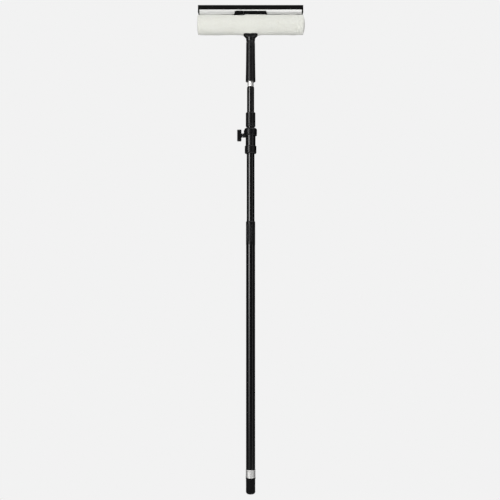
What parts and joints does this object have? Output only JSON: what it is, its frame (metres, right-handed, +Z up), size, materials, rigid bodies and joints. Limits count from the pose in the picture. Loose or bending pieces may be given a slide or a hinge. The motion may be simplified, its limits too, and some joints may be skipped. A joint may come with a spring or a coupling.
{
  "type": "window cleaning squeegee",
  "caption": "Window squeegee and washer head on a telescopic pole, with a fabric sleeve, a slide-out rubber blade, a quick latch, a wing-knob clamp and a twist lock.",
  "frame": {"origin": "centre of the end cap's flat foot", "axes": "+Z up the pole, +X right along the blade, front faces -Y"},
  "size_m": [0.306, 0.056, 1.3788],
  "materials": {
    "black_tube": "gloss black enamel",
    "cap_plastic": "moulded, matte",
    "collar_plastic": "moulded, fine grain",
    "barrel_plastic": "moulded, semi-gloss",
    "knob_plastic": "moulded, satin",
    "grip_plastic": "moulded, soft satin",
    "head_plastic": "moulded, semi-gloss",
    "bracket_plastic": "moulded, satin",
    "clip_plastic": "moulded, satin",
    "button_plastic": "moulded, polished",
    "spindle_plastic": "moulded",
    "nylon": "natural nylon",
    "acetal": "acetal",
    "plated_ferrule": "polished",
    "plated_tip": "plated",
    "zinc_steel": "zinc plated",
    "spring_steel": "spring steel",
    "brass_insert": "turned brass",
    "sleeve_fabric": "cream microfibre over a soft core",
    "blade_aluminium": "satin anodised extrusion",
    "blade_rubber": "moulded natural rubber"
  },
  "bodies": {
    "lower_pole": {"end_cap": "cap_plastic", "end_ferrule": "plated_ferrule", "outer_tube": "black_tube", "guide_collar": "collar_plastic"},
    "expander": {"expander_jaws": "nylon"},
    "cone": {"cone_nut": "acetal"},
    "inner_pole": {"inner_tube": "black_tube", "lock_spindle": "spindle_plastic", "spindle_stop": "zinc_steel", "clamp_base": "collar_plastic", "clamp_barrel": "barrel_plastic", "clamp_ring": "collar_plastic", "thread_insert": "brass_insert"},
    "pad": {"pressure_pad": "nylon"},
    "knob": {"clamp_knob": "knob_plastic", "clamp_screw": "zinc_steel"},
    "bush": {"split_bush": "nylon"},
    "upper_pole": {"upper_tube": "black_tube", "guide_plug": "nylon", "stop_collar": "collar_plastic", "tube_cap": "cap_plastic", "pole_tip": "plated_tip"},
    "head": {"handle_grip": "grip_plastic", "head_body": "head_plastic", "end_plug_left": "cap_plastic", "end_plug_right": "cap_plastic", "washer_sleeve": "sleeve_fabric", "blade_bracket": "bracket_plastic", "bracket_screws": "zinc_steel", "latch_pin": "zinc_steel", "button_spring": "spring_steel"},
    "button": {"snap_button": "button_plastic"},
    "latch": {"blade_latch": "bracket_plastic"},
    "blade": {"blade_channel": "blade_aluminium", "rubber_blade": "blade_rubber", "end_clip_left": "clip_plastic", "end_clip_right": "clip_plastic"}
  },
  "joints": [
    {"name": "lower_extend", "type": "slide", "parent": "lower_pole", "child": "expander", "axis": [0, 0, 1], "range_m": [-0.19, 0.3]},
    {"name": "lower_twist", "type": "hinge", "parent": "expander", "child": "inner_pole", "pos_m": [0, 0, 0.323], "axis": [0, 0, 1], "range_deg": [-150, 0]},
    {"name": "cone_feed", "type": "slide", "parent": "expander", "child": "cone", "axis": [0, 0, 1], "range_m": [0, 0.0009]},
    {"name": "clamp_feed", "type": "slide", "parent": "inner_pole", "child": "pad", "axis": [1, 0, 0], "range_m": [-0.0008, 0]},
    {"name": "knob_turn", "type": "hinge", "parent": "pad", "child": "knob", "pos_m": [-0.032, 0, 1.0018], "axis": [1, 0, 0], "range_deg": [-270, 0]},
    {"name": "head_turn", "type": "hinge", "parent": "inner_pole", "child": "bush", "pos_m": [0, 0, 1.002], "axis": [0, 0, 1], "range_deg": [-180, 180]},
    {"name": "upper_extend", "type": "slide", "parent": "bush", "child": "upper_pole", "axis": [0, 0, 1], "range_m": [-0.003, 0.38]},
    {"name": "grip_pull_off", "type": "slide", "parent": "upper_pole", "child": "head", "axis": [0, 0, 1], "range_m": [0, 0.075]},
    {"name": "button_press", "type": "slide", "parent": "head", "child": "button", "axis": [0, 1, 0], "range_m": [0, 0.002], "stiffness_N_per_m": 600, "springref_m": -0.001, "deforming": ["button_spring"]},
    {"name": "latch_open", "type": "hinge", "parent": "head", "child": "latch", "pos_m": [-0.0338, -0.0096, 1.3556], "axis": [-1, 0, 0], "range_deg": [0, 75]},
    {"name": "blade_slide", "type": "slide", "parent": "head", "child": "blade", "axis": [1, 0, 0], "range_m": [-0.09, 0.09]}
  ],
  "couplings": [
    {"joint": "cone_feed", "follows": "lower_twist", "m_per_rad": -0.00031831},
    {"joint": "clamp_feed", "follows": "knob_turn", "m_per_rad": 0.00015915}
  ]
}
